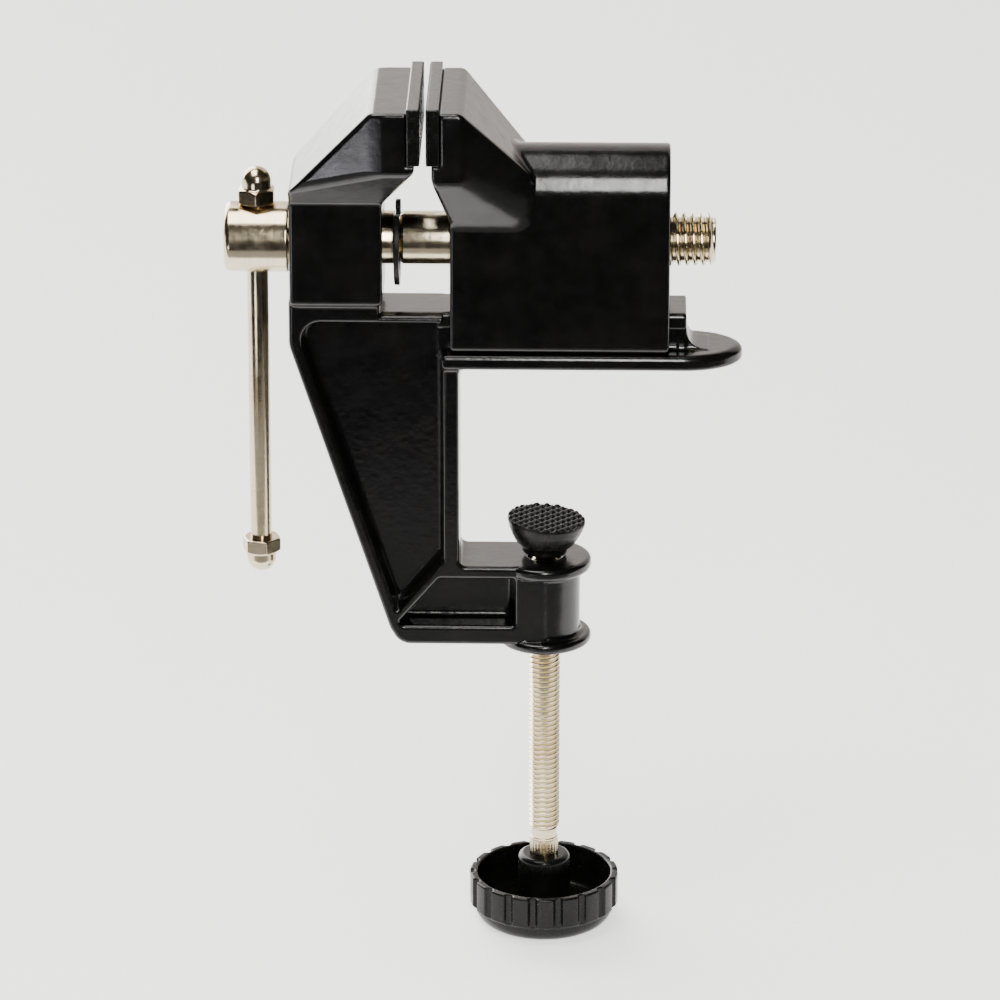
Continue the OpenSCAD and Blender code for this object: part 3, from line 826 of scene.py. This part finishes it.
def build_bar():
    cx = (BAR_LO[0] + BAR_HI[0]) / 2
    r = (BAR_HI[0] - BAR_LO[0]) / 2
    z0, z1 = LOW_NUT_HI[2], TOP_NUT_LO[2]
    rod = bevelled([(0, z0 - 1), (r, z0 - 1, 0.1), (r, z1 + 1, 0.1), (0, z1 + 1)])
    bar = joined("sliding_bar", [lathe(rod, 64, (cx, 0, 0))], NICKEL_Z, 40)
    place(bar, "bar_body", ["tommy_bar"], "plated_steel")
    for name, base, up, turn, node in (
            ("top_acorn_nut", TOP_NUT_LO[2], 1, 0.0, "upper_cap_nut"),
            ("low_acorn_nut", LOW_NUT_HI[2], -1, math.radians(17), "lower_cap_nut")):
        lo, hi = box_mm(node)
        place(solid(name, cap_nut_field(base, up, turn), lo, hi, 0.12, NICKEL_Z),
              "bar_body", [node], "plated_steel")


def spline(w, r, height, z0, z1):
    """One raised spline along Z on a round neck of radius r at angle w."""
    half = 0.2
    points = []
    for z in (z0, z1):
        for a, b in ((r - 0.1, -half), (r + height, 0), (r - 0.1, half)):
            points.append((a * math.cos(w) - b * math.sin(w),
                           a * math.sin(w) + b * math.cos(w), z))
    return points, [(0, 1, 4, 3), (1, 2, 5, 4), (0, 2, 1), (3, 4, 5), (2, 0, 3, 5)]


def build_clamp():
    crest = (CLAMP_HI[0] - CLAMP_LO[0]) / 2
    root = crest - 0.62
    top = ARM_Z - 0.5
    low = -96.0
    core = bevelled([
        (0, KNOB_LO[2] + 2), (2.5, KNOB_LO[2] + 2), (2.5, -98.3, 0.1), (2.62, -98.2, 0.05),
        (2.62, -97.9, 0.05), (2.45, -97.8, 0.1), (2.45, low, 0), (root + 0.02, low, 0),
        (root + 0.02, top, 0.1), (1.8, top + 0.5, 0.1), (1.8, BALL_Z, 0), (0, BALL_Z)])
    thread = helix(crest, root, 1.0, low, top, 0.4, 0.5, 32)
    ribs = [spline(2 * math.pi * k / SPLINES, 2.5, 0.2, -101.6, -98.5) for k in range(SPLINES)]
    screw = joined("clamp_spindle", [lathe(core, 72), thread] + ribs, NICKEL_Z, 40)
    place(screw, "clamp_body", ["clamp_screw"], "plated_steel")
    ball = [(0, BALL_Z - 3)] + [(3 * math.cos(a), BALL_Z + 3 * math.sin(a))
                                for a in np.linspace(-1.5, 1.5, 24)] + [(0, BALL_Z + 3)]
    place(joined("ball_tip", [lathe(ball, 48)], NICKEL_Z), "carrier_body", ["swivel_ball"],
          "plated_steel")
    pad = solid("swivel_pad", pad_field, PAD_LO, PAD_HI, 0.14, BLACK)
    place(pad, "pad_body", ["clamp_pad"], "black_steel")
    knob = solid("ribbed_knob", knob_field, KNOB_LO, KNOB_HI, 0.22, PLASTIC)
    place(knob, "clamp_body", ["hand_knob"], "knob_plastic")


build_castings()
build_jaw_steel()
build_spindle()
build_bar()
build_clamp()


# ---------------------------------------------------------------- stage, light and camera

FLOOR_Z = KNOB_LO[2]
SWEEP_BACK = 2200                     # the backdrop's vertical part stands this far behind
SWEEP_R = 600                         # radius of the sweep between floor and backdrop
SWEEP_START = 18                      # degrees of the sweep that belong to the floor
STAGE_W = 3700                        # half the width of floor and backdrop
STAGE_H = 3400
FLOOR_FRONT = -95                     # front edge of the bright floor
# painted shade: a grey sheet in front of the bright floor stands in for the dark room before the
# vise
SHADE_APRON_FRONT, SHADE_APRON_W = -245, 260


def paper(name, glow, tint=(1.0, 0.985, 0.96), shade=0.94):
    """Sweep paper with a glow of its own, as on a lit product table; shade is its whiteness."""
    p = Paint(name, Roughness=0.7, Specular_IOR_Level=0.2)
    p.set("Base Color", p.blend(p.span(p.noise(6, 2, 0.5), 0.3, 0.7, 0, 1), (shade,) * 3,
                                (shade * 0.98,) * 3))
    p.bump((p.noise(300, 2, 0.5), 0.02))
    p.set("Emission Color", tint)
    p.set("Emission Strength", glow)
    return p.mat


def sheet(name, path, x0, x1, material):
    """A stage sheet swept along X over a path of (y, z) points."""
    points = [(x, y, h) for y, h in path for x in (x0, x1)]
    faces = [(2 * i, 2 * i + 1, 2 * i + 3, 2 * i + 2) for i in range(len(path) - 1)]
    make(name, points, faces, material=material)


def sweep_path(a0, a1, steps):
    """Points of the curve between floor and backdrop, from angle a0 to a1 in degrees."""
    out = []
    for k in range(steps + 1):
        w = math.radians(a0 + (a1 - a0) * k / steps)
        out.append((SWEEP_BACK - SWEEP_R + SWEEP_R * math.sin(w),
                    FLOOR_Z + SWEEP_R - SWEEP_R * math.cos(w)))
    return out


def backdrop():
    """Bright floor, a sweep behind it that is brighter on the left, and a grey sheet in front as
    painted shade, standing in for the dark room before the vise.
    """
    floor = [(FLOOR_FRONT, FLOOR_Z)] + sweep_path(0, SWEEP_START, 10)
    sheet("floor", floor, -STAGE_W, STAGE_W, paper("floor_white", 1.3, (1.0, 0.995, 0.985)))
    back = sweep_path(SWEEP_START, 90, 14) + [(SWEEP_BACK, FLOOR_Z + STAGE_H)]
    for name, x0, x1, glow, tint in (
            ("backdrop_left", -STAGE_W, -309, 7.0, (1.0, 0.99, 0.97)),
            ("backdrop_mid", -309, 279, 0.85, (1.0, 0.86, 0.74)),
            ("backdrop_right", 279, STAGE_W, 0.75, (1.0, 0.88, 0.78))):
        sheet(name, back, x0, x1, paper(name, glow, tint))
    # Painted shade: grey paper where the room in front is only dark, so front faces and plated
    # parts reflect dark there.
    painted_shade_apron = [(SHADE_APRON_FRONT, FLOOR_Z), (FLOOR_FRONT, FLOOR_Z)]
    sheet("painted_shade_apron", painted_shade_apron, -SHADE_APRON_W, SHADE_APRON_W, paper("painted_shade_apron", 0.0, shade=0.24))


def softbox(name, at, target, size, power, colour):
    """A rectangular light at a point, facing a target; lengths in mm, power in watts."""
    light = bpy.data.lights.new(name, "AREA")
    light.shape = "RECTANGLE"
    light.size, light.size_y = size[0] * MM, size[1] * MM
    light.energy = power
    light.color = colour
    obj = bpy.data.objects.new(name, light)
    bpy.context.scene.collection.objects.link(obj)
    at, target = Vector(at) * MM, Vector(target) * MM
    obj.location = at
    obj.rotation_euler = (target - at).to_track_quat("-Z", "Y").to_euler()


def studio():
    """Backdrop, a faint sky and three lights: above, low on the left, and in front."""
    backdrop()
    world = bpy.data.worlds.new("studio")
    bpy.context.scene.world = world
    world.use_nodes = True
    sky = world.node_tree.nodes["Background"].inputs
    sky["Color"].default_value = (1, 1, 1, 1)
    sky["Strength"].default_value = 0.03
    softbox("top_box", (-225, -100, 700), (-225, -99, 0), (400, 560), 6.5, (1, 0.985, 0.95))
    softbox("left_card", (-226, -391, -112), (-225, -390, 100), (120, 110), 0.42,
            (0.98, 0.97, 1.05))
    softbox("front_box", (19, -380, 175), (12, -8, 38), (50, 230), 1.05, (1, 0.995, 0.975))


def camera():
    """The camera looks down 21 degrees, from a little to the right of straight ahead."""
    target = Vector((-8.49, 0, -28.83)) * MM
    turn, tilt, distance = math.radians(1.2), math.radians(21.226), 1.1997
    data = bpy.data.cameras.new("camera")
    data.sensor_width = 36
    data.lens = 36 * 6.355
    data.clip_start = 0.05
    obj = bpy.data.objects.new("camera", data)
    bpy.context.scene.collection.objects.link(obj)
    away = Vector((math.sin(turn) * math.cos(tilt), -math.cos(turn) * math.cos(tilt),
                   math.sin(tilt)))
    obj.location = target + distance * away
    look = Matrix.Rotation(turn, 4, "Z") @ Matrix.Rotation(math.pi / 2 - tilt, 4, "X")
    obj.rotation_euler = look.to_euler()
    bpy.context.scene.camera = obj


studio()
camera()
